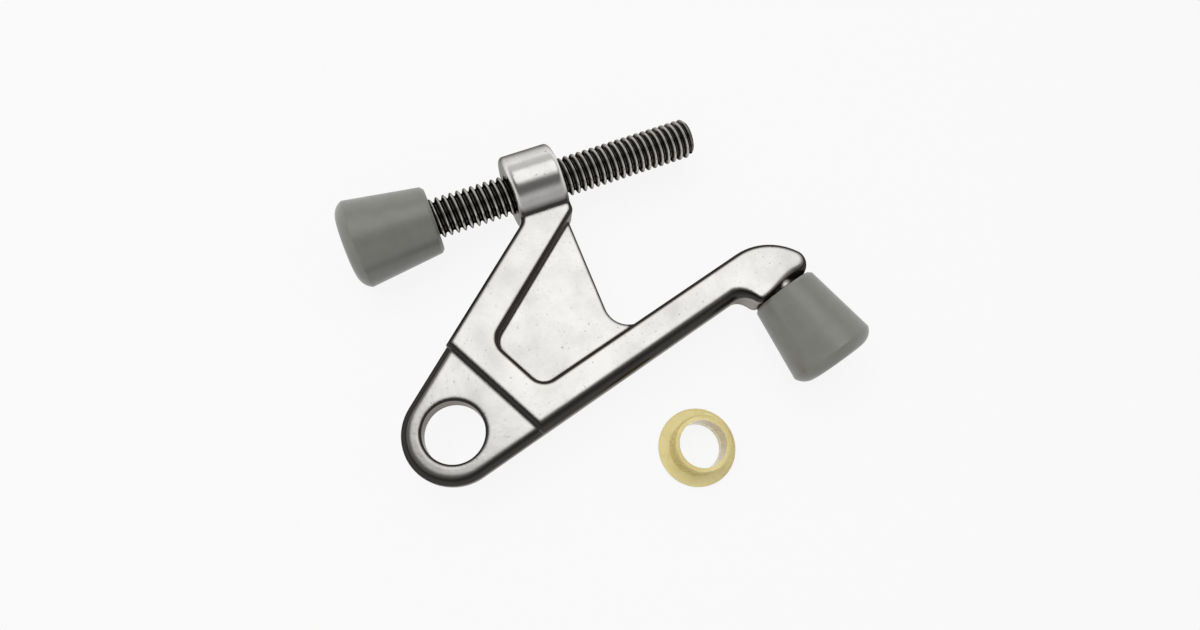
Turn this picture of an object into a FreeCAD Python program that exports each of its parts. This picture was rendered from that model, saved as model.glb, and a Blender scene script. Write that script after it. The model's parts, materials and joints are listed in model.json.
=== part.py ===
"""Hinge pin door stop: a die-cast body that hangs on a hinge pin, a threaded rod
with a rubber tip that sets how far the door opens, and a fixed arm with a second tip.

The origin is on the axis of the hinge pin, half way up the eye. +Z runs along the pin,
and +X runs along the fixed arm. Sizes are in millimetres and degrees.
"""
import FreeCAD
import Part
import Sketcher
import os
from FreeCAD import Vector

doc = FreeCAD.newDocument("hinge_pin_door_stop")

# Two places closer than this are the same place.
SAME = 0.001

SIZES = [
    ("eye_radius", 9.4, "outer radius of the eye round the hinge pin"),
    ("eye_bore", 11.3, "diameter of the hole in the eye"),
    ("eye_thickness", 5.4, "thickness of the eye along the pin"),
    ("eye_edge", 1.8, "rounding of the outer edge of the eye"),
    ("bore_edge", 0.5, "rounding of the rim of the eye's hole"),
    ("step_reach", 10.5, "from the pin's axis to the step where the arms begin"),
    ("step_slope", 0.9, "how far the slope of that step runs along the arms"),
    ("arm_thickness", 6.8, "thickness of both arms along the pin"),
    ("arm_width", 7.3, "width of both arms across their run"),
    ("arm_spread", 26.2, "angle between the two arms"),
    ("arm_edge", 0.9, "rounding of the long edges of the arms"),
    ("brow_edge", 2.4, "broad rounding of the fixed arm's outer edge"),
    ("nose_edge", 2.4, "rounding that the bend of the fixed arm ends with"),
    ("nose_swell", 1.3, "how far the bend stands out past its tip"),
    ("nose_corner", 3.0, "rounding of the bend's outer corner at its tip, seen along the pin"),
    ("neck_edge", 1.2, "rounding that the bend's inner side ends with"),
    ("neck_corner", 1.8, "rounding of the bend's inner corner at its tip, seen along the pin"),
    ("neck_radius", 3.2, "radius of the stub's neck inside the arm"),
    ("pocket_reach", 16.8, "from the pin's axis to the blunt end of the gap between the arms"),
    ("pocket_corner", 3.0, "rounding of the two inner corners of that gap"),
    ("web_thickness", 1.8, "thickness of the plate between the arms"),
    ("web_foot", 34.9, "where the plate's free edge would meet the fixed arm"),
    ("web_lean", 76.5, "angle of the plate's free edge to the fixed arm"),
    ("web_blend", 4.6, "radius of the free edge's foot"),
    ("web_root", 2.0, "how far the plate runs into the arms"),
    ("web_edge", 0.35, "rounding of the plate's free edge"),
    ("bend_radius", 3.6, "inner radius of the bend at the fixed arm's end"),
    ("bend_outer", 12.3, "outer radius of that bend"),
    ("tip_axis", 67.8, "from the pin's axis along the fixed arm to its tip's axis"),
    ("barrel_x", 39.41, "centre of the threaded barrel along the fixed arm"),
    ("barrel_y", 32.47, "centre of the threaded barrel across the fixed arm"),
    ("barrel_radius", 7.5, "outer radius of the barrel"),
    ("barrel_length", 10.2, "length of the barrel along the rod"),
    ("barrel_blend", 1.6, "hollow between the barrel and the flat of its arm"),
    ("barrel_shoulder", 1.6, "rounding of the corner of the arm beside the barrel"),
    ("barrel_armpit", 2.5, "hollow of the arm's other corner beside the barrel"),
    ("rod_fall", 13.8, "angle by which the rod falls towards the fixed arm"),
    ("rod_diameter", 7.94, "outer diameter of the rod's thread"),
    ("rod_length", 63.5, "whole length of the rod"),
    ("rod_chamfer", 0.7, "chamfer of both ends of the rod"),
    ("rod_standoff", 15.6, "free rod between the barrel and its tip"),
    ("rod_clearance", 0.05, "radial play of the rod in the barrel and in its tip"),
    ("tip_large", 17.3, "largest diameter of a rubber tip"),
    ("tip_small", 13.4, "diameter of a rubber tip at its seat"),
    ("tip_length", 17.3, "length of a rubber tip"),
    ("tip_round", 3.4, "rounding of a tip's wide end"),
    ("tip_break", 22, "angle by which the rounding breaks away from the taper"),
    ("tip_lip", 0.6, "chamfer of a tip's seat"),
    ("tip_socket", 9.3, "depth to which a tip is pushed on"),
    ("tip_bottom", 0.3, "room left at the bottom of a tip's socket"),
    ("bush_clearance", 0.08, "radial play of the bush in the eye"),
    ("bush_wall", 1.05, "wall of the bush's collar"),
    ("bush_flange", 15.2, "diameter of the bush's flange"),
    ("bush_flange_thickness", 1.1, "thickness of the bush's flange"),
    ("bush_edge", 0.3, "chamfer of the bush's rims"),
    ("bush_x", 36.9, "where the loose bush stands, along the fixed arm"),
    ("bush_y", -27.7, "where the loose bush stands, across the fixed arm"),
]


def fill_sheet():
    """Puts every driving size in a spreadsheet, one alias each."""
    sheet = doc.addObject("Spreadsheet::Sheet", "Sizes")
    for row, (alias, number, meaning) in enumerate(SIZES, start=1):
        sheet.set(f"A{row}", meaning)
        sheet.set(f"B{row}", str(number))
        sheet.setAlias(f"B{row}", alias)
    doc.recompute()
    return sheet


sheet = fill_sheet()


def number(expression):
    """What an expression of the sheet's sizes comes to."""
    result = sheet.evalExpression(expression)
    return float(getattr(result, "Value", result))


# What the outlines share, written as expressions of the sheet.
half_spread = "(Sizes.arm_spread / 2)"
inner_offset = "(Sizes.eye_radius - Sizes.arm_width)"
step_run = f"((Sizes.step_reach + Sizes.eye_radius * sin({half_spread})) / cos({half_spread}))"
pocket_run = f"((Sizes.pocket_reach + {inner_offset} * sin({half_spread})) / cos({half_spread}))"
half_barrel = "(Sizes.barrel_length / 2)"
tip_seat = "(Sizes.tip_small / 2)"
tip_round_x = "(Sizes.tip_length - Sizes.tip_round)"
tip_shoulder = "(Sizes.tip_large / 2 - Sizes.tip_round * cos(Sizes.tip_break))"
nose = f"(Sizes.tip_axis + {tip_seat} + Sizes.nose_swell)"
seat_depth = "(Sizes.eye_radius + Sizes.bend_radius)"
nose_centre_y = f"(-{inner_offset} - Sizes.bend_outer)"
nose_centre = f"({nose} - sqrt(Sizes.bend_outer ^ 2 - ({seat_depth} + {nose_centre_y}) ^ 2))"
rod_radius = "(Sizes.rod_diameter / 2)"


def on_rod_arm(run, across):
    """A point of the rod's arm, by its run from the pin and its distance to the left."""
    x = f"(({run}) * cos(Sizes.arm_spread) - ({across}) * sin(Sizes.arm_spread))"
    y = f"(({run}) * sin(Sizes.arm_spread) + ({across}) * cos(Sizes.arm_spread))"
    return x, y


def on_rod_axis(run):
    """A point of the rod's axis, by its run from the barrel's centre."""
    x = f"(Sizes.barrel_x + ({run}) * cos(Sizes.rod_fall))"
    y = f"(Sizes.barrel_y - ({run}) * sin(Sizes.rod_fall))"
    return x, y


def barrel_end_run(end_run, across):
    """Run along the rod's arm, at a distance across it, to a plane across the rod's axis."""
    toward = f"(Sizes.barrel_x * cos(Sizes.rod_fall) - Sizes.barrel_y * sin(Sizes.rod_fall) + {end_run})"
    turn = "(Sizes.arm_spread + Sizes.rod_fall)"
    return f"(({toward} + ({across}) * sin({turn})) / cos({turn}))"


def add_outline(sketch, steps):
    """Draws a closed outline and ties it to the sheet.

    Each step is a corner (x, y) and what leads on from it: None for a line, or
    (centre x, centre y, radius, anticlockwise) for an arc.
    """
    corners = [Vector(number(x), number(y), 0) for (x, y), arc in steps]
    ends = []
    for index, ((x, y), arc) in enumerate(steps):
        start = corners[index]
        stop = corners[(index + 1) % len(corners)]
        if arc is None:
            geometry = sketch.addGeometry(Part.LineSegment(start, stop))
            ends.append((geometry, 1, 2))
            continue
        centre = Vector(number(arc[0]), number(arc[1]), 0)
        circle = Part.Circle(centre, Vector(0, 0, 1), number(arc[2]))
        if arc[3]:
            curve = Part.ArcOfCircle(circle, circle.parameter(start), circle.parameter(stop))
            ends.append((sketch.addGeometry(curve), 1, 2))
        else:
            curve = Part.ArcOfCircle(circle, circle.parameter(stop), circle.parameter(start))
            ends.append((sketch.addGeometry(curve), 2, 1))
    for index, (geometry, first, last) in enumerate(ends):
        after = ends[(index + 1) % len(ends)]
        sketch.addConstraint(Sketcher.Constraint("Coincident", geometry, last, after[0], after[1]))
    for index, ((x, y), arc) in enumerate(steps):
        geometry, first, last = ends[index]
        bind(sketch, Sketcher.Constraint("DistanceX", -1, 1, geometry, first, number(x)), f"x_{index}", x)
        bind(sketch, Sketcher.Constraint("DistanceY", -1, 1, geometry, first, number(y)), f"y_{index}", y)
        if arc is not None:
            bind(sketch, Sketcher.Constraint("Radius", geometry, number(arc[2])), f"radius_{index}", arc[2])


def bind(sketch, constraint, name, expression):
    """Adds a dimension to a sketch and gives it an expression of the sheet."""
    index = sketch.addConstraint(constraint)
    sketch.renameConstraint(index, name)
    sketch.setExpression(f"Constraints.{name}", expression)


def plate(name, thickness, steps):
    """A flat piece of the casting: an outline, given its thickness about the middle plane."""
    sketch = doc.addObject("Sketcher::SketchObject", f"{name}_outline")
    add_outline(sketch, steps)
    solid = doc.addObject("Part::Extrusion", name)
    solid.Base = sketch
    solid.DirMode = "Normal"
    solid.Solid = True
    solid.Symmetric = True
    solid.setExpression("LengthFwd", thickness)
    doc.recompute()
    return solid


def turned(name, steps, place, turn_axis=Vector(0, 0, 1), angle="0"):
    """A piece turned about its own X axis, then swung about one axis and put in place."""
    body = doc.addObject("PartDesign::Body", name)
    sketch = body.newObject("Sketcher::SketchObject", f"{name}_profile")
    plane = [item for item in body.Origin.OriginFeatures if item.Role == "XY_Plane"][0]
    sketch.AttachmentSupport = [(plane, "")]
    sketch.MapMode = "FlatFace"
    add_outline(sketch, steps)
    revolve = body.newObject("PartDesign::Revolution", f"{name}_turn")
    revolve.Profile = sketch
    revolve.ReferenceAxis = (sketch, ["H_Axis"])
    revolve.Angle = 360
    body.Placement = FreeCAD.Placement(Vector(), FreeCAD.Rotation(turn_axis, number(angle)))
    for direction, expression in zip("xyz", place):
        body.setExpression(f"Placement.Base.{direction}", expression)
    body.setExpression("Placement.Rotation.Angle", angle)
    doc.recompute()
    return body


def edge_middle(edge):
    """The middle point of an edge."""
    return edge.valueAt((edge.FirstParameter + edge.LastParameter) / 2)


def rim_edges(solid, thickness):
    """Edges of a plate's two flat faces, each with its number and middle point."""
    found = []
    for index, edge in enumerate(solid.Shape.Edges, start=1):
        middle = edge_middle(edge)
        level = abs(edge.Vertexes[0].Z - middle.z) < SAME
        if level and abs(abs(middle.z) - number(thickness) / 2) < SAME:
            found.append((index, edge, middle))
    return found


def rounded(name, base, radii):
    """Rounds edges: a list of (edge number, first radius, last radius)."""
    fillet = doc.addObject("Part::Fillet", name)
    fillet.Base = base
    fillet.Edges = radii
    doc.recompute()
    return fillet


def upright_edge(solid, corner):
    """Number of the edge along the pin that stands on a corner of an outline."""
    place = Vector(number(corner[0]), number(corner[1]), 0)
    for index, edge in enumerate(solid.Shape.Edges, start=1):
        if edge_middle(edge).distanceToPoint(place) < SAME:
            return index
    raise RuntimeError("no edge stands on that corner")


def make_arms():
    """Both arms in one outline: the gap between them, the bend, and the barrel's seat."""
    outer_end = on_rod_arm(barrel_end_run(f"(-{half_barrel})", "Sizes.eye_radius"), "Sizes.eye_radius")
    inner_end = on_rod_arm(barrel_end_run(half_barrel, inner_offset), inner_offset)
    neck_end = (f"(Sizes.tip_axis - {tip_seat})", f"-{seat_depth}")
    nose_end = (nose, f"-{seat_depth}")
    bend_start = f"(Sizes.tip_axis - {tip_seat} - Sizes.bend_radius)"
    corner_run = f"(Sizes.pocket_corner / tan((90 + {half_spread}) / 2))"
    corner_start = f"({pocket_run} + {corner_run})"
    blunt_run = f"({pocket_run} - {corner_run} * sin({half_spread}))"
    blunt_across = f"({inner_offset} - {corner_run} * cos({half_spread}))"
    corner_across = f"({inner_offset} - Sizes.pocket_corner)"
    corner = ("Sizes.pocket_corner", False)
    steps = [
        ((step_run, "-Sizes.eye_radius"), None),
        ((bend_start, "-Sizes.eye_radius"), (bend_start, f"-{seat_depth}", "Sizes.bend_radius", False)),
        (neck_end, None),
        (nose_end, (nose_centre, nose_centre_y, "Sizes.bend_outer", True)),
        ((nose_centre, f"-{inner_offset}"), None),
        ((corner_start, f"-{inner_offset}"), (corner_start, f"-{corner_across}") + corner),
        ((blunt_run, f"-{blunt_across}"), None),
        (on_rod_arm(blunt_run, blunt_across), on_rod_arm(corner_start, corner_across) + corner),
        (on_rod_arm(corner_start, inner_offset), None),
        (inner_end, None),
        (on_rod_axis(half_barrel), None),
        (on_rod_axis(f"(-{half_barrel})"), None),
        (outer_end, None),
        (on_rod_arm(step_run, "Sizes.eye_radius"), None),
    ]
    blank = plate("arms_blank", "Sizes.arm_thickness", steps)
    corners = [
        (outer_end, "Sizes.barrel_armpit"),
        (inner_end, "Sizes.barrel_shoulder"),
        (nose_end, "Sizes.nose_corner"),
        (neck_end, "Sizes.neck_corner"),
    ]
    radii = []
    for corner, size in corners:
        radii.append((upright_edge(blank, corner), number(size), number(size)))
    return rounded("arms", blank, radii)


def edge_size(point):
    """Rounding of the arms' edge at a point of it."""
    outer_side = number("-Sizes.eye_radius")
    on_seat = abs(point.y + number(seat_depth)) < SAME
    if point.x > number("Sizes.tip_axis") and not on_seat:
        return number("Sizes.nose_edge")
    if point.y < outer_side - SAME:
        return number("Sizes.neck_edge")
    if point.y < outer_side + SAME:
        return number("Sizes.brow_edge")
    return number("Sizes.arm_edge")


def round_arms(arms):
    """Rounds the arms' edges, broadly along the fixed arm's outer side and round its bend."""
    to_gap = Vector(number(f"cos({half_spread})"), number(f"sin({half_spread})"), 0)
    barrel = Vector(number("Sizes.barrel_x"), number("Sizes.barrel_y"), 0)
    radii = []
    for index, edge, middle in rim_edges(arms, "Sizes.arm_thickness"):
        on_step = abs(middle.dot(to_gap) - number("Sizes.step_reach")) < SAME
        in_barrel = Vector(middle.x, middle.y, 0).distanceToPoint(barrel) < SAME
        if not on_step and not in_barrel:
            first = edge.valueAt(edge.FirstParameter)
            last = edge.valueAt(edge.LastParameter)
            radii.append((index, edge_size(first), edge_size(last)))
    return rounded("arms_rounded", arms, radii)


def upright_plate(name, width, steps, place, angle):
    """A piece drawn upright, given its width and swung into place about the pin's direction."""
    solid = plate(name, width, steps)
    solid.Base.Placement = FreeCAD.Placement(Vector(), FreeCAD.Rotation(Vector(1, 0, 0), 90))
    solid.Placement = FreeCAD.Placement(Vector(), FreeCAD.Rotation(Vector(0, 0, 1), number(angle)))
    solid.setExpression("Placement.Rotation.Angle", angle)
    for direction, expression in zip("xy", place):
        solid.setExpression(f"Placement.Base.{direction}", expression)
    doc.recompute()
    return solid


def slope_step(arms):
    """Slopes the arms down to the eye on both faces, where they begin."""
    low = "(Sizes.eye_thickness / 2)"
    high = f"(Sizes.arm_thickness - {low})"
    steps = [
        (("(2 * Sizes.step_slope)", high), None),
        (("-Sizes.step_slope", high), None),
        (("-Sizes.step_slope", f"-{high}"), None),
        (("(2 * Sizes.step_slope)", f"-{high}"), None),
        (("0", f"-{low}"), None),
        (("(-Sizes.step_slope / 2)", "0"), None),
        (("0", low), None),
    ]
    place = (f"(Sizes.step_reach * cos({half_spread}))", f"(Sizes.step_reach * sin({half_spread}))")
    sloped = doc.addObject("Part::Cut", "arms_sloped")
    sloped.Base = arms
    sloped.Tool = upright_plate("step_cutter", "4 * Sizes.eye_radius", steps, place, half_spread)
    doc.recompute()
    return sloped


def make_saddle():
    """Fills the corners between the barrel and the flats of its arm with a hollow slope."""
    high = "(Sizes.arm_thickness / 2)"
    sink = "(Sizes.barrel_blend / 12)"
    rise = f"({high} + Sizes.barrel_blend - {sink})"
    slant = "(Sizes.barrel_radius + Sizes.barrel_blend)"
    reach = f"(sqrt({slant} ^ 2 - ({high} + Sizes.barrel_blend) ^ 2) - {sink})"
    share = f"(1 - Sizes.barrel_blend / sqrt({reach} ^ 2 + {rise} ^ 2))"
    steps = [
        ((f"({reach} * {share})", f"({rise} * {share})"), (reach, rise, "Sizes.barrel_blend", True)),
        ((reach, f"({rise} - Sizes.barrel_blend)"), None),
        ((reach, f"(Sizes.barrel_blend - {rise})"), (reach, f"(-{rise})", "Sizes.barrel_blend", True)),
        ((f"({reach} * {share})", f"(-{rise} * {share})"), None),
    ]
    block = upright_plate("saddle", "Sizes.barrel_length", steps, on_rod_axis("0"), "(-90 - Sizes.rod_fall)")
    size = number("Sizes.arm_edge")
    radii = []
    for index, edge in enumerate(block.Shape.Edges, start=1):
        if isinstance(edge.Curve, Part.Circle):
            radii.append((index, size, size))
    return rounded("saddle_rounded", block, radii)


def make_web():
    """The thin plate that ties the two arms together, with its leaning free edge."""
    blend_run = "(Sizes.web_blend / tan(Sizes.web_lean / 2))"
    blend_x = f"(Sizes.web_foot + {blend_run})"
    deep = f"({inner_offset} + Sizes.web_root)"
    rise = (
        f"(({deep} + Sizes.web_foot * sin(Sizes.arm_spread) + {inner_offset} * cos(Sizes.arm_spread))"
        " / sin(Sizes.web_lean - Sizes.arm_spread))"
    )

    def on_free_edge(run):
        x = f"(Sizes.web_foot + {run} * cos(Sizes.web_lean))"
        y = f"({run} * sin(Sizes.web_lean) - {inner_offset})"
        return x, y

    blend_centre = (blend_x, f"(Sizes.web_blend - {inner_offset})")
    steps = [
        ((pocket_run, f"-{deep}"), None),
        ((blend_x, f"-{deep}"), None),
        ((blend_x, f"-{inner_offset}"), blend_centre + ("Sizes.web_blend", False)),
        (on_free_edge(blend_run), None),
        (on_free_edge(rise), None),
        (on_rod_arm(pocket_run, deep), None),
    ]
    web = plate("web", "Sizes.web_thickness", steps)
    size = number("Sizes.web_edge")
    radii = []
    for index, edge, middle in rim_edges(web, "Sizes.web_thickness"):
        if middle.x > number("Sizes.web_foot") and middle.y > number(f"-{inner_offset}"):
            radii.append((index, size, size))
    return rounded("web_rounded", web, radii)


def make_eye():
    """The thinner tab with the round eye, up to the step, bored for the hinge pin."""
    steps = [
        (("0", "-Sizes.eye_radius"), None),
        ((step_run, "-Sizes.eye_radius"), None),
        (on_rod_arm(step_run, "Sizes.eye_radius"), None),
        (on_rod_arm("0", "Sizes.eye_radius"), ("0", "0", "Sizes.eye_radius", True)),
    ]
    tab = plate("eye", "Sizes.eye_thickness", steps)
    drill = doc.addObject("Part::Cylinder", "eye_drill")
    drill.setExpression("Radius", "Sizes.eye_bore / 2")
    drill.setExpression("Height", "Sizes.eye_thickness")
    drill.setExpression("Placement.Base.z", "-Sizes.eye_thickness / 2")
    bored = doc.addObject("Part::Cut", "eye_bored")
    bored.Base = tab
    bored.Tool = drill
    doc.recompute()
    to_gap = Vector(number(f"cos({half_spread})"), number(f"sin({half_spread})"), 0)
    radii = []
    for index, edge, middle in rim_edges(bored, "Sizes.eye_thickness"):
        on_step = abs(middle.dot(to_gap) - number("Sizes.step_reach")) < SAME
        on_bore = abs(Vector(middle.x, middle.y, 0).Length - number("Sizes.eye_bore") / 2) < SAME
        if not on_step:
            radius = number("Sizes.bore_edge" if on_bore else "Sizes.eye_edge")
            radii.append((index, radius, radius))
    return rounded("eye_rounded", bored, radii)


def make_barrel():
    """The barrel that the rod is screwed through, on the end of the rod's arm."""
    edge = "Sizes.arm_edge"
    rim = f"(Sizes.barrel_radius - {edge})"
    near = f"({half_barrel} - {edge})"
    far = f"({edge} - {half_barrel})"
    steps = [
        ((f"(-{half_barrel})", "0"), None),
        ((half_barrel, "0"), None),
        ((half_barrel, rim), (near, rim, edge, True)),
        ((near, "Sizes.barrel_radius"), None),
        ((far, "Sizes.barrel_radius"), (far, rim, edge, True)),
        ((f"(-{half_barrel})", rim), None),
    ]
    return turned("barrel", steps, on_rod_axis("0") + ("0",), angle="-Sizes.rod_fall")


def make_spigot():
    """The round stub on the fixed arm's end that its tip is pushed on."""
    length = "(Sizes.tip_socket - Sizes.tip_bottom)"
    shoulder = f"({length} - Sizes.rod_chamfer)"
    steps = [
        (("-Sizes.nose_edge", "0"), None),
        ((length, "0"), None),
        ((length, f"({rod_radius} - Sizes.rod_chamfer)"), None),
        ((shoulder, rod_radius), None),
        (("0", rod_radius), None),
        (("0", "Sizes.neck_radius"), None),
        (("-Sizes.nose_edge", "Sizes.neck_radius"), None),
    ]
    return turned("spigot", steps, ("Sizes.tip_axis", f"-{seat_depth}", "0"), angle="-90")


def make_body():
    """The casting: eye, arms, web, barrel and spigot in one solid, with the rod's hole."""
    arms = slope_step(round_arms(make_arms()))
    blank = doc.addObject("Part::MultiFuse", "body_blank")
    blank.Shapes = [make_eye(), arms, make_web(), make_barrel(), make_saddle(), make_spigot()]
    blank.Refine = True
    hole = f"({rod_radius} + Sizes.rod_clearance)"
    steps = [
        ((f"(-{half_barrel})", "0"), None),
        ((half_barrel, "0"), None),
        ((half_barrel, hole), None),
        ((f"(-{half_barrel})", hole), None),
    ]
    drill = turned("rod_drill", steps, on_rod_axis("0") + ("0",), angle="-Sizes.rod_fall")
    body = doc.addObject("Part::Cut", "body")
    body.Base = blank
    body.Tool = drill
    body.Label = "stop_body"
    doc.recompute()
    return body


def make_rod():
    """The threaded rod at its outer diameter, chamfered at both ends."""
    neck = f"({rod_radius} - Sizes.rod_chamfer)"
    steps = [
        (("0", "0"), None),
        (("Sizes.rod_length", "0"), None),
        (("Sizes.rod_length", neck), None),
        (("(Sizes.rod_length - Sizes.rod_chamfer)", rod_radius), None),
        (("Sizes.rod_chamfer", rod_radius), None),
        (("0", neck), None),
    ]
    start = f"(Sizes.tip_bottom - {half_barrel} - Sizes.rod_standoff - Sizes.tip_socket)"
    rod = turned("rod", steps, on_rod_axis(start) + ("0",), angle="-Sizes.rod_fall")
    rod.Label = "threaded_rod"
    return rod


def make_tip(label, place, angle):
    """A rubber tip: a cone with a rounded wide end and a blind socket in its seat."""
    socket = f"({rod_radius} + Sizes.rod_clearance)"
    steps = [
        (("0", socket), None),
        (("Sizes.tip_socket", socket), None),
        (("Sizes.tip_socket", "0"), None),
        (("Sizes.tip_length", "0"), None),
        (("Sizes.tip_length", tip_shoulder), (tip_round_x, tip_shoulder, "Sizes.tip_round", True)),
        ((f"({tip_round_x} + Sizes.tip_round * sin(Sizes.tip_break))", "(Sizes.tip_large / 2)"), None),
        (("Sizes.tip_lip", tip_seat), None),
        (("0", f"({tip_seat} - Sizes.tip_lip)"), None),
    ]
    tip = turned(f"{label}_form", steps, place, angle=angle)
    tip.Label = label
    return tip


def make_bush():
    """The flanged bush that packs the eye out to a thinner pin, standing loose on its flange."""
    outer = "(Sizes.eye_bore / 2 - Sizes.bush_clearance)"
    inner = f"({outer} - Sizes.bush_wall)"
    height = "(Sizes.bush_flange_thickness + Sizes.eye_thickness)"
    edge = "Sizes.bush_edge"
    rim = f"(Sizes.bush_flange / 2 - {edge})"
    top = f"(Sizes.bush_flange_thickness - {edge})"
    steps = [
        (("0", inner), None),
        ((height, inner), None),
        ((height, f"({outer} - {edge})"), None),
        ((f"({height} - {edge})", outer), None),
        (("Sizes.bush_flange_thickness", outer), None),
        (("Sizes.bush_flange_thickness", rim), None),
        ((top, "(Sizes.bush_flange / 2)"), None),
        ((edge, "(Sizes.bush_flange / 2)"), None),
        (("0", rim), None),
    ]
    place = ("Sizes.bush_x", "Sizes.bush_y", "-Sizes.tip_large / 2")
    bush = turned("bush", steps, place, turn_axis=Vector(0, 1, 0), angle="-90")
    bush.Label = "hinge_pin_bush"
    return bush


def export_pieces(pieces):
    """Checks every object of the document, then writes one file for each piece."""
    doc.recompute()
    for item in doc.Objects:
        if "Invalid" in item.State or "Error" in item.State:
            raise RuntimeError(f"{item.Label} failed: {item.State}")
    for piece in pieces:
        if piece.Shape.isNull() or not piece.Shape.isValid() or len(piece.Shape.Solids) != 1:
            raise RuntimeError(f"{piece.Label} is not one sound solid")
    os.makedirs("parts", exist_ok=True)
    for piece in pieces:
        piece.Shape.exportStep(f"parts/{piece.Label}.step")
        print(f"{piece.Label}: {piece.Shape.Volume:.1f} mm3")


rod_seat = on_rod_axis(f"(-{half_barrel} - Sizes.rod_standoff)") + ("0",)
arm_seat = ("Sizes.tip_axis", f"-{seat_depth}", "0")
export_pieces([
    make_body(),
    make_rod(),
    make_tip("rod_bumper", rod_seat, "180 - Sizes.rod_fall"),
    make_tip("arm_bumper", arm_seat, "-90"),
    make_bush(),
])
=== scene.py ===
"""Looks of the hinge pin door stop: plated casting, threaded rod, rubber tips and loose bush."""
import json
import math

import bmesh
import bpy
from mathutils import Matrix, Vector


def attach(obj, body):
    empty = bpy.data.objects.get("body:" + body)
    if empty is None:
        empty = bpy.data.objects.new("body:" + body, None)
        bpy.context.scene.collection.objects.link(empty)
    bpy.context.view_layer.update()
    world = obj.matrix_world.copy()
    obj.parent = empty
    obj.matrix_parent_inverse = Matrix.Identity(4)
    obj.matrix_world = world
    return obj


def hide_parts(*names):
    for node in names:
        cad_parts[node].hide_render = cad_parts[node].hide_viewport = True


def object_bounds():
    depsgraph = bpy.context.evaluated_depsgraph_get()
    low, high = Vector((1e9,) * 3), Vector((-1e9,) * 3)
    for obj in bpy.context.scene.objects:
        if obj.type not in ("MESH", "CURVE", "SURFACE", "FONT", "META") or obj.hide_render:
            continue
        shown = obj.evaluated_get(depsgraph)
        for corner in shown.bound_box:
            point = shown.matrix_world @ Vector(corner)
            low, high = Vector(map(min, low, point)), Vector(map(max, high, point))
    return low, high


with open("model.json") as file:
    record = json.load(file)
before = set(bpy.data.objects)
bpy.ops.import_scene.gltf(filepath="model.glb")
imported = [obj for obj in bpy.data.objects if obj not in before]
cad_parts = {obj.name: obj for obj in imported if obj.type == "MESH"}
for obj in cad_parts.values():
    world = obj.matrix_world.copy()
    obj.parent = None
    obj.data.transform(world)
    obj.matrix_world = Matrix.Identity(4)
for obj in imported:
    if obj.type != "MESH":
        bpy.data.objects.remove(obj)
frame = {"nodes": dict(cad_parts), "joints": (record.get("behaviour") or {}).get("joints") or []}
CAD_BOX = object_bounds()

bl_info = {
    "name": "Hinge Pin Door Stop",
    "version": (1, 0, 0),
    "blender": (4, 5, 0),
    "location": "View3D > Sidebar > Door Stop",
    "description": "Dresses a hinge pin door stop: plating, thread, rubber tips and bush",
    "category": "Object",
}

MILLIMETRE = 0.001
FULL_TURN = 2 * math.pi
WHITE = (1.0, 1.0, 1.0)

# Width of the photograph in pixels, and of the camera's sensor in millimetres
PHOTO_WIDTH = 1200
SENSOR_WIDTH = 36.0

# How far the casting's edges look rounded off and how wide their painted shade spreads, and the height
# past which only its barrel reaches
EDGE_SOFTNESS = 1.0 * MILLIMETRE
EDGE_SAMPLES = 8
FLAT_HEIGHT = 3.5 * MILLIMETRE

# What plating and steel reflect at a grazing angle
GRAZING_TINT = (0.4, 0.38, 0.36)
STEEL_GRAZING_TINT = (0.16, 0.152, 0.144)

# One flank of the thread from root to crest, in shares of its pitch and of its depth
RISING_FLANK = ((0.0, 0.0), (0.1, 0.04), (0.18, 0.24), (0.32, 0.74), (0.4, 0.94), (0.46, 1.0))

# Shares of the pitch within which the thread's turns are joined and its ends are cut
JOIN_SHARE = 0.002
CUT_SHARE = 0.001

# Floor and backdrop in metres, and how much of their colour gives way to white in the picture
FLOOR_RADIUS = 3.0
FLOOR_SEGMENTS = 96
BACKDROP_HEIGHT = 1.2
FLOOR_LIFT = 0.89

# Lamp over the stop, in metres and watts
LAMP_SIZE = 0.9
LAMP_POWER = 6.0
LAMP_PLACE = (-0.1, 0.3, 0.9)
LAMP_AIM = (0.03, 0.0, 0.0)

# Surroundings: where the softbox is, its level by how nearly a ray meets it, and the ceiling's by height
SOFTBOX_SIDE = (0.30, 0.29, 0.905)
SOFTBOX_LEVELS = ((0.0, 0.0), (0.86, 0.1), (0.91, 0.35), (0.945, 0.85), (0.965, 1.08))
CEILING_LEVELS = ((0.3, 0.7), (0.7, 0.55), (0.86, 0.12), (1.0, 0.12))


def joint_named(name):
    """One joint of the frame."""
    return next(joint for joint in frame["joints"] if joint["name"] == name)


def rod_measures():
    """Where the rod starts, which way it runs, how long it is and its radius."""
    joint = joint_named("rod_turn")
    along = -Vector(joint["axis"]).normalized()
    centre = Vector(joint["pos_m"])
    runs = []
    radii = []
    for vertex in frame["nodes"]["threaded_rod"].data.vertices:
        offset = vertex.co - centre
        run = offset.dot(along)
        runs.append(run)
        radii.append((offset - along * run).length)
    start = centre + along * min(runs)
    return start, along, max(runs) - min(runs), max(radii)


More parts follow.
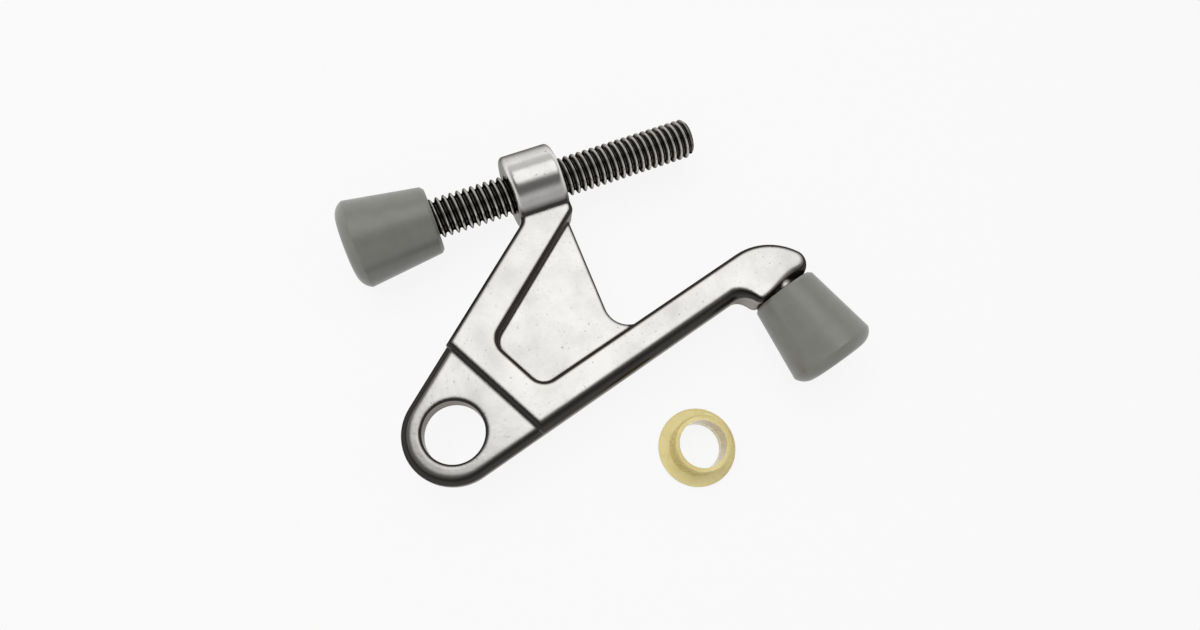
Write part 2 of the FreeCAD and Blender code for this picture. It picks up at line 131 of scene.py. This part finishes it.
class DoorStopSizes(bpy.types.PropertyGroup):
    """Sizes that shape the dressed pieces."""

    thread_pitch: bpy.props.FloatProperty(
        name="Thread Pitch",
        description="Distance from one turn of the rod's thread to the next",
        default=1.411 * MILLIMETRE,
        unit="LENGTH",
        precision=6,
    )
    thread_depth: bpy.props.FloatProperty(
        name="Thread Depth",
        description="Height of the rod's thread from root to crest",
        default=0.85 * MILLIMETRE,
        unit="LENGTH",
        precision=6,
    )
    thread_chamfer: bpy.props.FloatProperty(
        name="Thread Chamfer",
        description="Chamfer of the rod's ends",
        default=0.7 * MILLIMETRE,
        unit="LENGTH",
        precision=6,
    )
    thread_steps: bpy.props.IntProperty(
        name="Thread Steps",
        description="Faces round one turn of the thread",
        default=48,
        min=12,
    )


class DoorStopColours(bpy.types.PropertyGroup):
    """Colours of the finishes, of the painted shade on the casting and of the stage."""

    plating: bpy.props.FloatVectorProperty(
        name="Plating",
        description="Bright nickel plating of the casting",
        subtype="COLOR",
        default=(0.87, 0.855, 0.83),
        min=0.0,
        max=1.0,
    )
    # Painted shade: this grey darkens the casting's walls and rounded edges in place of their shade
    plating_painted_wall_shade: bpy.props.FloatVectorProperty(
        name="Plating on the Sides",
        description="Duller plating on the casting's walls and rounded edges",
        subtype="COLOR",
        default=(0.42, 0.4, 0.38),
        min=0.0,
        max=1.0,
    )
    # Painted shade: this warm grey darkens the flats where they run into their edges, in place of their
    # shade
    plating_painted_edge_shade: bpy.props.FloatVectorProperty(
        name="Plating near the Edges",
        description="Warmer plating where the flats run into their edges",
        subtype="COLOR",
        default=(0.66, 0.61, 0.56),
        min=0.0,
        max=1.0,
    )
    steel: bpy.props.FloatVectorProperty(
        name="Steel",
        description="Zinc-bright steel of the rod",
        subtype="COLOR",
        default=(0.52, 0.5, 0.47),
        min=0.0,
        max=1.0,
    )
    rubber: bpy.props.FloatVectorProperty(
        name="Rubber",
        description="Grey rubber of the tips",
        subtype="COLOR",
        default=(0.18, 0.18, 0.16),
        min=0.0,
        max=1.0,
    )
    amber: bpy.props.FloatVectorProperty(
        name="Amber",
        description="Translucent plastic of the bush",
        subtype="COLOR",
        default=(0.80, 0.66, 0.24),
        min=0.0,
        max=1.0,
    )
    floor: bpy.props.FloatVectorProperty(
        name="Floor",
        description="Pale floor under the stop",
        subtype="COLOR",
        default=(0.55, 0.55, 0.55),
        min=0.0,
        max=1.0,
    )


class DoorStopCamera(bpy.types.PropertyGroup):
    """Where the photograph was taken from, in the stop's frame."""

    place: bpy.props.FloatVectorProperty(
        name="Place",
        description="Where the camera stands",
        subtype="TRANSLATION",
        default=(0.0003, -0.0227, 0.1433),
    )
    aim: bpy.props.FloatVectorProperty(
        name="Aim",
        description="The point that the camera looks at",
        subtype="TRANSLATION",
        default=(0.0349, 0.0034, 0.0),
    )
    upward: bpy.props.FloatVectorProperty(
        name="Upward",
        description="Direction that is up in the picture",
        subtype="DIRECTION",
        default=(0.540, 0.795, 0.275),
    )
    focal_pixels: bpy.props.FloatProperty(
        name="Focal Length in Pixels",
        description="Focal length in pixels of a picture 1200 wide",
        default=780.0,
    )


def new_material(name):
    """A node material with its nodes, its links and its principled shader."""
    material = bpy.data.materials.new(name)
    material.use_nodes = True
    nodes = material.node_tree.nodes
    return material, nodes, material.node_tree.links, nodes["Principled BSDF"]


def object_coordinates(nodes):
    """Coordinates that stay with the piece."""
    return nodes.new("ShaderNodeTexCoord").outputs["Object"]


def noise(nodes, links, vector, scale, detail, roughness=0.5):
    """A noise texture's value on some coordinates."""
    texture = nodes.new("ShaderNodeTexNoise")
    texture.inputs["Scale"].default_value = scale
    texture.inputs["Detail"].default_value = detail
    texture.inputs["Roughness"].default_value = roughness
    links.new(vector, texture.inputs["Vector"])
    return texture.outputs["Fac"]


def shades(colour, *stops):
    """Stops for a ramp, from (position, factor) pairs that lighten or darken one colour."""
    return [(position, tuple(channel * factor for channel in colour)) for position, factor in stops]


def ramp(nodes, links, value, stops):
    """Maps a value to colours by (position, colour) stops."""
    node = nodes.new("ShaderNodeValToRGB")
    elements = node.color_ramp.elements
    while len(elements) < len(stops):
        elements.new(0.5)
    for element, (position, colour) in zip(elements, stops):
        element.position = position
        element.color = (*colour, 1.0)
    links.new(value, node.inputs["Fac"])
    return node.outputs["Color"]


def blend(nodes, links, kind, first, second):
    """Two colours blended in full, such as one multiplied by the other."""
    node = nodes.new("ShaderNodeMix")
    node.data_type = "RGBA"
    node.blend_type = kind
    node.inputs["Factor"].default_value = 1.0
    links.new(first, node.inputs["A"])
    links.new(second, node.inputs["B"])
    return node.outputs["Result"]


def calculate(nodes, links, operation, *values):
    """The result of one operation on sockets or plain numbers."""
    node = nodes.new("ShaderNodeMath")
    node.operation = operation
    for socket, value in zip(node.inputs, values):
        if isinstance(value, float):
            socket.default_value = value
        else:
            links.new(value, socket)
    return node.outputs["Value"]


def reach_along_z(nodes, links, vector):
    """How far a vector reaches up or down: for a normal, 1 on the casting's flats and 0 on its walls."""
    parts = nodes.new("ShaderNodeSeparateXYZ")
    links.new(vector, parts.inputs["Vector"])
    return calculate(nodes, links, "ABSOLUTE", parts.outputs["Z"])


def bump(nodes, links, shader, height, strength, distance, normal=None):
    """Gives a shader a bump from a height, on the surface's normal or another."""
    node = nodes.new("ShaderNodeBump")
    node.inputs["Strength"].default_value = strength
    node.inputs["Distance"].default_value = distance
    links.new(height, node.inputs["Height"])
    if normal is not None:
        links.new(normal, node.inputs["Normal"])
    links.new(node.outputs["Normal"], shader.inputs["Normal"])


def plating_with_painted_shade(nodes, links, colours, soft_normal):
    """Plating with painted shade: its own colour on the flats, a dark painted shade on the rounded edges
    and a grey painted shade on the walls.
    """
    plain_normal = nodes.new("ShaderNodeNewGeometry").outputs["Normal"]
    plain = reach_along_z(nodes, links, plain_normal)
    softened = reach_along_z(nodes, links, soft_normal)
    steepest = calculate(nodes, links, "MINIMUM", plain, softened)
    # Painted shade by how steeply the normal stands: grey on the walls, dark on the rounded edges, warm
    # grey where the flats meet them
    walls = shades(colours.plating_painted_wall_shade, (0.0, 1.0), (0.15, 0.8), (0.4, 0.15), (0.92, 0.1))
    edges = shades(colours.plating_painted_edge_shade, (0.965, 0.5), (0.985, 1.0))
    flats = shades(colours.plating, (0.998, 1.0))
    return ramp(nodes, links, steepest, walls + edges + flats)


def clear_painted_shade_on_barrel(nodes, links, colours, place, tint):
    """Takes the painted shade off the barrel above and below the flats, where only the barrel reaches,
    and gives it the plating's own bright colour there.
    """
    height = nodes.new("ShaderNodeMapRange")
    height.interpolation_type = "SMOOTHSTEP"
    height.inputs["From Min"].default_value = FLAT_HEIGHT
    height.inputs["From Max"].default_value = FLAT_HEIGHT * 2
    links.new(reach_along_z(nodes, links, place), height.inputs["Value"])
    shade_cleared = nodes.new("ShaderNodeMix")
    shade_cleared.data_type = "RGBA"
    shade_cleared.inputs["B"].default_value = (*colours.plating, 1.0)
    links.new(height.outputs["Result"], shade_cleared.inputs["Factor"])
    links.new(tint, shade_cleared.inputs["A"])
    return shade_cleared.outputs["Result"]


def plating_material(colours):
    """Nickel plating over a slightly uneven casting, with painted shade on its edges and walls, faint
    stains, a few pits and soft waves.
    """
    material, nodes, links, shader = new_material("nickel_plating_with_painted_shade")
    shader.inputs["Metallic"].default_value = 1.0
    shader.inputs["Specular Tint"].default_value = (*GRAZING_TINT, 1.0)
    place = object_coordinates(nodes)
    soft_edges = nodes.new("ShaderNodeBevel")
    soft_edges.samples = EDGE_SAMPLES
    soft_edges.inputs["Radius"].default_value = EDGE_SOFTNESS
    soft_normal = soft_edges.outputs["Normal"]
    # Painted shade on the rounded edges and walls, taken off the barrel above and below the flats
    tint = plating_with_painted_shade(nodes, links, colours, soft_normal)
    tint = clear_painted_shade_on_barrel(nodes, links, colours, place, tint)
    cloud = noise(nodes, links, place, scale=110.0, detail=6.0, roughness=0.6)
    stains = ramp(nodes, links, cloud, shades(WHITE, (0.3, 0.86), (0.6, 1.0)))
    tint = blend(nodes, links, "MULTIPLY", tint, stains)
    specks = noise(nodes, links, place, scale=1700.0, detail=3.0, roughness=0.6)
    pits = ramp(nodes, links, specks, shades(WHITE, (0.26, 0.5), (0.36, 1.0)))
    tint = blend(nodes, links, "MULTIPLY", tint, pits)
    links.new(tint, shader.inputs["Base Color"])
    dullness = ramp(nodes, links, cloud, shades(WHITE, (0.3, 0.24), (0.7, 0.12)))
    links.new(dullness, shader.inputs["Roughness"])
    waves = noise(nodes, links, place, scale=420.0, detail=4.0, roughness=0.6)
    bump(nodes, links, shader, waves, strength=0.08, distance=0.3 * MILLIMETRE, normal=soft_normal)
    return material


def distance_from_rod_axis(nodes, links, place, start, turn):
    """How far a point lies from the rod's axis."""
    along_rod = nodes.new("ShaderNodeMapping")
    along_rod.vector_type = "TEXTURE"
    along_rod.inputs["Location"].default_value = start
    along_rod.inputs["Rotation"].default_value = turn.to_euler()
    links.new(place, along_rod.inputs["Vector"])
    across = nodes.new("ShaderNodeVectorMath")
    across.operation = "MULTIPLY"
    across.inputs[1].default_value = (0.0, 1.0, 1.0)
    links.new(along_rod.outputs["Vector"], across.inputs[0])
    distance = nodes.new("ShaderNodeVectorMath")
    distance.operation = "LENGTH"
    links.new(across.outputs["Vector"], distance.inputs[0])
    return distance.outputs["Value"]


def steel_material(colours, start, turn, root, crest):
    """Rolled steel of the rod: bright on its crests and cut ends, darkened in its roots and flanks by
    oil and painted shade.
    """
    material, nodes, links, shader = new_material("rolled_steel_thread_oil_and_painted_shade")
    shader.inputs["Metallic"].default_value = 1.0
    shader.inputs["Specular Tint"].default_value = (*STEEL_GRAZING_TINT, 1.0)
    place = object_coordinates(nodes)
    height = nodes.new("ShaderNodeMapRange")
    height.inputs["From Max"].default_value = crest
    links.new(distance_from_rod_axis(nodes, links, place, start, turn), height.inputs["Value"])
    root_share = root / crest
    depth_share = 1.0 - root_share
    # Oil and painted shade: darker from the crests down into the roots, by distance from the axis
    tint = ramp(nodes, links, height.outputs["Result"], shades(
        colours.steel,
        (root_share * 0.93, 0.75),
        (root_share * 0.98, 0.12),
        (root_share + depth_share * 0.1, 0.12),
        (root_share + depth_share * 0.6, 0.35),
        (root_share + depth_share * 0.92, 1.0),
    ))
    links.new(tint, shader.inputs["Base Color"])
    cloud = noise(nodes, links, place, scale=900.0, detail=4.0, roughness=0.6)
    dullness = ramp(nodes, links, cloud, shades(WHITE, (0.3, 0.22), (0.7, 0.12)))
    links.new(dullness, shader.inputs["Roughness"])
    return material


def rubber_material(colours):
    """Satin moulded rubber of the tips."""
    material, nodes, links, shader = new_material("satin_grey_rubber")
    place = object_coordinates(nodes)
    cloud = noise(nodes, links, place, scale=330.0, detail=5.0, roughness=0.6)
    tint = ramp(nodes, links, cloud, shades(colours.rubber, (0.3, 0.92), (0.7, 1.06)))
    links.new(tint, shader.inputs["Base Color"])
    dullness = ramp(nodes, links, cloud, shades(WHITE, (0.3, 0.36), (0.7, 0.3)))
    links.new(dullness, shader.inputs["Roughness"])
    shader.inputs["Specular IOR Level"].default_value = 0.9
    grain = noise(nodes, links, place, scale=2600.0, detail=3.0, roughness=0.6)
    bump(nodes, links, shader, grain, strength=0.12, distance=0.1 * MILLIMETRE)
    return material


def amber_material(colours):
    """Translucent plastic of the bush."""
    material, nodes, links, shader = new_material("amber_translucent_plastic")
    cloud = noise(nodes, links, object_coordinates(nodes), scale=240.0, detail=3.0)
    tint = ramp(nodes, links, cloud, shades(colours.amber, (0.3, 0.9), (0.7, 1.0)))
    links.new(tint, shader.inputs["Base Color"])
    dullness = ramp(nodes, links, cloud, shades(WHITE, (0.3, 0.22), (0.7, 0.14)))
    links.new(dullness, shader.inputs["Roughness"])
    shader.inputs["Transmission Weight"].default_value = 0.45
    shader.inputs["IOR"].default_value = 1.5
    return material


def finish_node(name, material):
    """Gives a piece of the frame its finish."""
    slots = frame["nodes"][name].material_slots
    if not slots:
        raise RuntimeError(f"{name} has no material slot for its finish")
    for slot in slots:
        slot.material = material


def link_mesh(name, bm, material):
    """Turns a bmesh into an object of the scene, at the origin."""
    mesh = bpy.data.meshes.new(name)
    bm.to_mesh(mesh)
    bm.free()
    mesh.materials.append(material)
    piece = bpy.data.objects.new(name, mesh)
    bpy.context.scene.collection.objects.link(piece)
    return piece


def thread_profile(pitch, depth, radius):
    """One pitch of a rolled thread as (run, radius), with a rounded root and a rounded crest."""
    root = radius - depth
    falling_flank = [(1.0 - run, height) for run, height in reversed(RISING_FLANK[1:])]
    return [(run * pitch, root + height * depth) for run, height in [*RISING_FLANK, *falling_flank]]


def sweep_thread(sizes, length, radius):
    """A thread along +X: an outline spun one turn as it moves on one pitch, then joined and trimmed."""
    bm = bmesh.new()
    pitch = sizes.thread_pitch
    profile = thread_profile(pitch, sizes.thread_depth, radius)
    verts = []
    for turn in range(-2, math.ceil(length / pitch) + 1):
        for run, height in profile:
            verts.append(bm.verts.new((run + turn * pitch, height, 0.0)))
    edges = [bm.edges.new(pair) for pair in zip(verts, verts[1:])]
    # The last step meets the next turn's outline and not its own, so the doubles are merged afterwards
    bmesh.ops.spin(
        bm,
        geom=verts + edges,
        cent=(0.0, 0.0, 0.0),
        axis=(1.0, 0.0, 0.0),
        dvec=(pitch / sizes.thread_steps, 0.0, 0.0),
        angle=FULL_TURN,
        steps=sizes.thread_steps,
        use_merge=False,
    )
    bmesh.ops.remove_doubles(bm, verts=bm.verts, dist=pitch * JOIN_SHARE)
    for place, outward in ((0.0, -1.0), (length, 1.0)):
        cut = bmesh.ops.bisect_plane(
            bm,
            geom=bm.verts[:] + bm.edges[:] + bm.faces[:],
            dist=pitch * CUT_SHARE,
            plane_co=(place, 0.0, 0.0),
            plane_no=(outward, 0.0, 0.0),
            clear_outer=True,
        )
        rim = [item for item in cut["geom_cut"] if isinstance(item, bmesh.types.BMEdge)]
        bmesh.ops.edgeloop_fill(bm, edges=rim)
    chamfer_ends(bm, length, radius, sizes.thread_chamfer)
    bmesh.ops.recalc_face_normals(bm, faces=bm.faces)
    # The two cut ends have many corners and stay flat
    for face in bm.faces:
        face.smooth = len(face.verts) <= 4
    return bm


def chamfer_ends(bm, length, radius, chamfer):
    """Draws the thread in to a cone near both ends of the rod."""
    for vertex in bm.verts:
        to_end = min(vertex.co.x, length - vertex.co.x)
        limit = radius - max(0.0, chamfer - to_end)
        height = math.hypot(vertex.co.y, vertex.co.z)
        if height > limit:
            vertex.co.y *= limit / height
            vertex.co.z *= limit / height


class DOORSTOP_OT_plate_casting(bpy.types.Operator):
    """Gives the cast body its plating, with painted shade on its edges and walls"""

    bl_idname = "door_stop.plate_casting"
    bl_label = "Plate Casting"

    def execute(self, context):
        finish_node("stop_body", plating_material(context.scene.door_stop_colours))
        return {"FINISHED"}


class DOORSTOP_OT_cut_thread(bpy.types.Operator):
    """Cuts the thread of the rod"""

    bl_idname = "door_stop.cut_thread"
    bl_label = "Cut Thread"

    def execute(self, context):
        sizes = context.scene.door_stop_sizes
        start, along, length, radius = rod_measures()
        bm = sweep_thread(sizes, length, radius)
        turn = Vector((1.0, 0.0, 0.0)).rotation_difference(along).to_matrix()
        bmesh.ops.transform(bm, matrix=Matrix.Translation(start) @ turn.to_4x4(), verts=bm.verts)
        root = radius - sizes.thread_depth
        steel = steel_material(context.scene.door_stop_colours, start, turn, root, radius)
        rod = link_mesh("rod_thread", bm, steel)
        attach(rod, "screw_rod")
        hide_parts("threaded_rod")
        return {"FINISHED"}


class DOORSTOP_OT_mould_tips(bpy.types.Operator):
    """Gives both rubber tips their finish"""

    bl_idname = "door_stop.mould_tips"
    bl_label = "Mould Tips"

    def execute(self, context):
        material = rubber_material(context.scene.door_stop_colours)
        for tip in ("rod_bumper", "arm_bumper"):
            finish_node(tip, material)
        return {"FINISHED"}


class DOORSTOP_OT_mould_bush(bpy.types.Operator):
    """Gives the loose bush its translucent plastic"""

    bl_idname = "door_stop.mould_bush"
    bl_label = "Mould Bush"

    def execute(self, context):
        finish_node("hinge_pin_bush", amber_material(context.scene.door_stop_colours))
        return {"FINISHED"}


def floor_material(colours):
    """A pale matt floor with a faint unevenness, lifted to white in the picture and in reflections."""
    material, nodes, links, shader = new_material("pale_floor")
    cloud = noise(nodes, links, object_coordinates(nodes), scale=3.0, detail=2.0)
    tint = ramp(nodes, links, cloud, shades(colours.floor, (0.3, 0.995), (0.7, 1.0)))
    links.new(tint, shader.inputs["Base Color"])
    shader.inputs["Roughness"].default_value = 0.9
    shader.inputs["Specular IOR Level"].default_value = 0.0
    rays = nodes.new("ShaderNodeLightPath").outputs
    seen = calculate(nodes, links, "MAXIMUM", rays["Is Camera Ray"], rays["Is Glossy Ray"])
    seen = calculate(nodes, links, "MAXIMUM", seen, rays["Is Transmission Ray"])
    white = nodes.new("ShaderNodeEmission")
    mixed = nodes.new("ShaderNodeMixShader")
    links.new(calculate(nodes, links, "MULTIPLY", seen, FLOOR_LIFT), mixed.inputs["Fac"])
    links.new(shader.outputs["BSDF"], mixed.inputs[1])
    links.new(white.outputs["Emission"], mixed.inputs[2])
    links.new(mixed.outputs["Shader"], nodes["Material Output"].inputs["Surface"])
    return material


def floor_and_backdrop():
    """A round floor under the stop with a low wall round it."""
    bm = bmesh.new()
    bmesh.ops.create_circle(bm, cap_ends=True, segments=FLOOR_SEGMENTS, radius=FLOOR_RADIUS)
    rim = [edge for edge in bm.edges if edge.is_boundary]
    wall = bmesh.ops.extrude_edge_only(bm, edges=rim)["geom"]
    top = [item for item in wall if isinstance(item, bmesh.types.BMVert)]
    bmesh.ops.translate(bm, verts=top, vec=(0.0, 0.0, BACKDROP_HEIGHT))
    bmesh.ops.translate(bm, verts=bm.verts, vec=(0.0, 0.0, CAD_BOX[0].z))
    return bm


def build_world():
    """A studio whose ceiling darkens upwards, with one softbox overhead to the side."""
    world = bpy.data.worlds.new("studio")
    bpy.context.scene.world = world
    world.use_nodes = True
    nodes = world.node_tree.nodes
    links = world.node_tree.links
    direction = nodes.new("ShaderNodeTexCoord").outputs["Generated"]
    toward = nodes.new("ShaderNodeVectorMath")
    toward.operation = "DOT_PRODUCT"
    toward.inputs[1].default_value = Vector(SOFTBOX_SIDE).normalized()
    links.new(direction, toward.inputs[0])
    softbox = ramp(nodes, links, toward.outputs["Value"], shades(WHITE, *SOFTBOX_LEVELS))
    parts = nodes.new("ShaderNodeSeparateXYZ")
    links.new(direction, parts.inputs["Vector"])
    ceiling = ramp(nodes, links, parts.outputs["Z"], shades(WHITE, *CEILING_LEVELS))
    links.new(blend(nodes, links, "LIGHTEN", softbox, ceiling), nodes["Background"].inputs["Color"])


def hang_lamp(scene):
    """Hangs one broad lamp over the stop, which the plating doesn't mirror."""
    light = bpy.data.lights.new("overhead_softbox", "AREA")
    light.shape = "DISK"
    light.size = LAMP_SIZE
    light.energy = LAMP_POWER
    lamp = bpy.data.objects.new("overhead_softbox", light)
    lamp.location = LAMP_PLACE
    lamp.rotation_euler = (Vector(LAMP_AIM) - lamp.location).to_track_quat("-Z", "Y").to_euler()
    lamp.visible_glossy = False
    scene.collection.objects.link(lamp)


def place_camera(scene):
    """Puts the camera where the photograph was taken, with the photograph's lens."""
    view = scene.door_stop_camera
    data = bpy.data.cameras.new("photo_camera")
    data.sensor_fit = "HORIZONTAL"
    data.sensor_width = SENSOR_WIDTH
    data.lens = view.focal_pixels * SENSOR_WIDTH / PHOTO_WIDTH
    data.clip_start = MILLIMETRE
    camera = bpy.data.objects.new("photo_camera", data)
    backward = (Vector(view.place) - Vector(view.aim)).normalized()
    right = Vector(view.upward).cross(backward).normalized()
    upward = backward.cross(right)
    turn = Matrix((right, upward, backward)).transposed().to_4x4()
    camera.matrix_world = Matrix.Translation(view.place) @ turn
    scene.collection.objects.link(camera)
    scene.camera = camera


class DOORSTOP_OT_set_stage(bpy.types.Operator):
    """Lays the floor, sets the lights and puts the camera where the photograph was taken"""

    bl_idname = "door_stop.set_stage"
    bl_label = "Set Stage"

    def execute(self, context):
        scene = context.scene
        scene.view_settings.view_transform = "Standard"
        link_mesh("floor", floor_and_backdrop(), floor_material(scene.door_stop_colours))
        build_world()
        hang_lamp(scene)
        place_camera(scene)
        return {"FINISHED"}


class DOORSTOP_PT_panel(bpy.types.Panel):
    """Lists the steps that dress the stop"""

    bl_idname = "DOORSTOP_PT_panel"
    bl_label = "Hinge Pin Door Stop"
    bl_space_type = "VIEW_3D"
    bl_region_type = "UI"
    bl_category = "Door Stop"

    def draw(self, context):
        for operator in OPERATORS:
            self.layout.operator(operator.bl_idname)
        for group in GROUPS:
            settings = getattr(context.scene, group)
            column = self.layout.column()
            for name in settings.__annotations__:
                column.prop(settings, name)


GROUPS = {
    "door_stop_sizes": DoorStopSizes,
    "door_stop_colours": DoorStopColours,
    "door_stop_camera": DoorStopCamera,
}
OPERATORS = (
    DOORSTOP_OT_plate_casting,
    DOORSTOP_OT_cut_thread,
    DOORSTOP_OT_mould_tips,
    DOORSTOP_OT_mould_bush,
    DOORSTOP_OT_set_stage,
)


def register():
    """Registers the settings, the operators and the panel."""
    for name, group in GROUPS.items():
        bpy.utils.register_class(group)
        setattr(bpy.types.Scene, name, bpy.props.PointerProperty(type=group))
    for operator in OPERATORS:
        bpy.utils.register_class(operator)
    bpy.utils.register_class(DOORSTOP_PT_panel)


def unregister():
    """Takes back what register added."""
    bpy.utils.unregister_class(DOORSTOP_PT_panel)
    for operator in reversed(OPERATORS):
        bpy.utils.unregister_class(operator)
    for name, group in GROUPS.items():
        delattr(bpy.types.Scene, name)
        bpy.utils.unregister_class(group)


def main():
    """Dresses the stop, piece by piece, and sets the stage."""
    register()
    bpy.ops.door_stop.plate_casting()
    bpy.ops.door_stop.cut_thread()
    bpy.ops.door_stop.mould_tips()
    bpy.ops.door_stop.mould_bush()
    bpy.ops.door_stop.set_stage()


if __name__ == "__main__":
    main()
